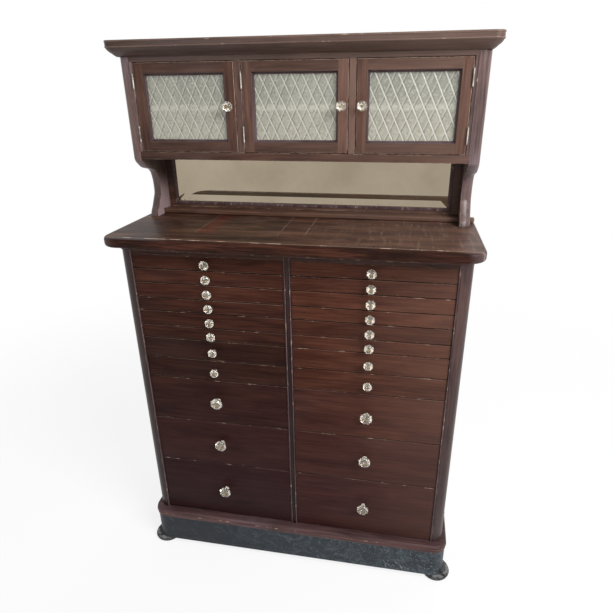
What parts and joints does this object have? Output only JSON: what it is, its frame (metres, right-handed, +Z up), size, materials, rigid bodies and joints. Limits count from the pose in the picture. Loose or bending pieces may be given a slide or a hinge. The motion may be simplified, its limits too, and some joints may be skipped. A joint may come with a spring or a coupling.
{
  "type": "dental cabinet",
  "caption": "Wooden cabinet with banks of shallow and deep drawers under a counter, and a glazed-door cupboard over a bevelled mirror on scroll brackets.",
  "frame": {"origin": "on the floor, under the middle of the whole cabinet", "axes": "+Z up, +Y to the back, +X to the right as seen from the front"},
  "size_m": [1.048, 0.385, 1.6235],
  "materials": {
    "mahogany": "worn satin varnish",
    "worn_mahogany": "worn and scratched satin varnish",
    "plinth_black": "dark and scuffed",
    "dark_wood": "dull",
    "pressed_glass": "pressed diamond pattern",
    "knob_glass": "clear and faceted",
    "mirror": "silvered plate with a bevel",
    "nickel": "dull nickel plate"
  },
  "bodies": {
    "case": {"left_side": "mahogany", "right_side": "mahogany", "centre_partition": "mahogany", "case_back": "mahogany", "case_bottom": "mahogany", "top_rail": "mahogany", "case_top": "mahogany", "countertop": "worn_mahogany", "plinth": "plinth_black", "foot_front_left": "dark_wood", "foot_front_right": "dark_wood", "foot_back_left": "dark_wood", "foot_back_right": "dark_wood", "left_upright": "mahogany", "right_upright": "mahogany", "upper_bottom": "mahogany", "upper_back": "mahogany", "shelf": "mahogany", "cornice": "mahogany", "mirror_frame": "mahogany", "mirror": "mirror", "mullion_left": "mahogany", "mullion_right": "mahogany", "hinge_left_upper": "nickel", "hinge_left_lower": "nickel", "hinge_centre_upper": "nickel", "hinge_centre_lower": "nickel", "hinge_right_upper": "nickel", "hinge_right_lower": "nickel"},
    "left_drawer_1": {"drawer_left_1": "mahogany"},
    "left_drawer_2": {"drawer_left_2": "mahogany"},
    "left_drawer_3": {"drawer_left_3": "mahogany"},
    "left_drawer_4": {"drawer_left_4": "mahogany"},
    "left_drawer_5": {"drawer_left_5": "mahogany"},
    "left_drawer_6": {"drawer_left_6": "mahogany"},
    "left_drawer_7": {"drawer_left_7": "mahogany"},
    "left_drawer_8": {"drawer_left_8": "mahogany"},
    "left_drawer_9": {"drawer_left_9": "mahogany"},
    "left_drawer_10": {"drawer_left_10": "mahogany"},
    "left_drawer_11": {"drawer_left_11": "mahogany"},
    "right_drawer_1": {"drawer_right_1": "mahogany"},
    "right_drawer_2": {"drawer_right_2": "mahogany"},
    "right_drawer_3": {"drawer_right_3": "mahogany"},
    "right_drawer_4": {"drawer_right_4": "mahogany"},
    "right_drawer_5": {"drawer_right_5": "mahogany"},
    "right_drawer_6": {"drawer_right_6": "mahogany"},
    "right_drawer_7": {"drawer_right_7": "mahogany"},
    "right_drawer_8": {"drawer_right_8": "mahogany"},
    "right_drawer_9": {"drawer_right_9": "mahogany"},
    "right_drawer_10": {"drawer_right_10": "mahogany"},
    "right_drawer_11": {"drawer_right_11": "mahogany"},
    "left_door": {"door_left": "mahogany", "glass_left": "pressed_glass", "door_knob_left": "knob_glass"},
    "centre_door": {"door_centre": "mahogany", "glass_centre": "pressed_glass", "door_knob_centre": "knob_glass"},
    "right_door": {"door_right": "mahogany", "glass_right": "pressed_glass", "door_knob_right": "knob_glass"}
  },
  "joints": [
    {"name": "left_drawer_1_slide", "type": "slide", "parent": "case", "child": "left_drawer_1", "axis": [0, -1, 0], "range_m": [0, 0.25]},
    {"name": "left_drawer_2_slide", "type": "slide", "parent": "case", "child": "left_drawer_2", "axis": [0, -1, 0], "range_m": [0, 0.25]},
    {"name": "left_drawer_3_slide", "type": "slide", "parent": "case", "child": "left_drawer_3", "axis": [0, -1, 0], "range_m": [0, 0.25]},
    {"name": "left_drawer_4_slide", "type": "slide", "parent": "case", "child": "left_drawer_4", "axis": [0, -1, 0], "range_m": [0, 0.25]},
    {"name": "left_drawer_5_slide", "type": "slide", "parent": "case", "child": "left_drawer_5", "axis": [0, -1, 0], "range_m": [0, 0.25]},
    {"name": "left_drawer_6_slide", "type": "slide", "parent": "case", "child": "left_drawer_6", "axis": [0, -1, 0], "range_m": [0, 0.25]},
    {"name": "left_drawer_7_slide", "type": "slide", "parent": "case", "child": "left_drawer_7", "axis": [0, -1, 0], "range_m": [0, 0.25]},
    {"name": "left_drawer_8_slide", "type": "slide", "parent": "case", "child": "left_drawer_8", "axis": [0, -1, 0], "range_m": [0, 0.25]},
    {"name": "left_drawer_9_slide", "type": "slide", "parent": "case", "child": "left_drawer_9", "axis": [0, -1, 0], "range_m": [0, 0.25]},
    {"name": "left_drawer_10_slide", "type": "slide", "parent": "case", "child": "left_drawer_10", "axis": [0, -1, 0], "range_m": [0, 0.25]},
    {"name": "left_drawer_11_slide", "type": "slide", "parent": "case", "child": "left_drawer_11", "axis": [0, -1, 0], "range_m": [0, 0.25]},
    {"name": "right_drawer_1_slide", "type": "slide", "parent": "case", "child": "right_drawer_1", "axis": [0, -1, 0], "range_m": [0, 0.25]},
    {"name": "right_drawer_2_slide", "type": "slide", "parent": "case", "child": "right_drawer_2", "axis": [0, -1, 0], "range_m": [0, 0.25]},
    {"name": "right_drawer_3_slide", "type": "slide", "parent": "case", "child": "right_drawer_3", "axis": [0, -1, 0], "range_m": [0, 0.25]},
    {"name": "right_drawer_4_slide", "type": "slide", "parent": "case", "child": "right_drawer_4", "axis": [0, -1, 0], "range_m": [0, 0.25]},
    {"name": "right_drawer_5_slide", "type": "slide", "parent": "case", "child": "right_drawer_5", "axis": [0, -1, 0], "range_m": [0, 0.25]},
    {"name": "right_drawer_6_slide", "type": "slide", "parent": "case", "child": "right_drawer_6", "axis": [0, -1, 0], "range_m": [0, 0.25]},
    {"name": "right_drawer_7_slide", "type": "slide", "parent": "case", "child": "right_drawer_7", "axis": [0, -1, 0], "range_m": [0, 0.25]},
    {"name": "right_drawer_8_slide", "type": "slide", "parent": "case", "child": "right_drawer_8", "axis": [0, -1, 0], "range_m": [0, 0.25]},
    {"name": "right_drawer_9_slide", "type": "slide", "parent": "case", "child": "right_drawer_9", "axis": [0, -1, 0], "range_m": [0, 0.25]},
    {"name": "right_drawer_10_slide", "type": "slide", "parent": "case", "child": "right_drawer_10", "axis": [0, -1, 0], "range_m": [0, 0.25]},
    {"name": "right_drawer_11_slide", "type": "slide", "parent": "case", "child": "right_drawer_11", "axis": [0, -1, 0], "range_m": [0, 0.25]},
    {"name": "left_door_hinge", "type": "hinge", "parent": "case", "child": "left_door", "pos_m": [-0.44912, 0.01275, 1.45575], "axis": [0, 0, -1], "range_deg": [0, 100]},
    {"name": "centre_door_hinge", "type": "hinge", "parent": "case", "child": "centre_door", "pos_m": [-0.14288, 0.01275, 1.45575], "axis": [0, 0, -1], "range_deg": [0, 100]},
    {"name": "right_door_hinge", "type": "hinge", "parent": "case", "child": "right_door", "pos_m": [0.44912, 0.01275, 1.45575], "axis": [0, 0, 1], "range_deg": [0, 100]}
  ]
}
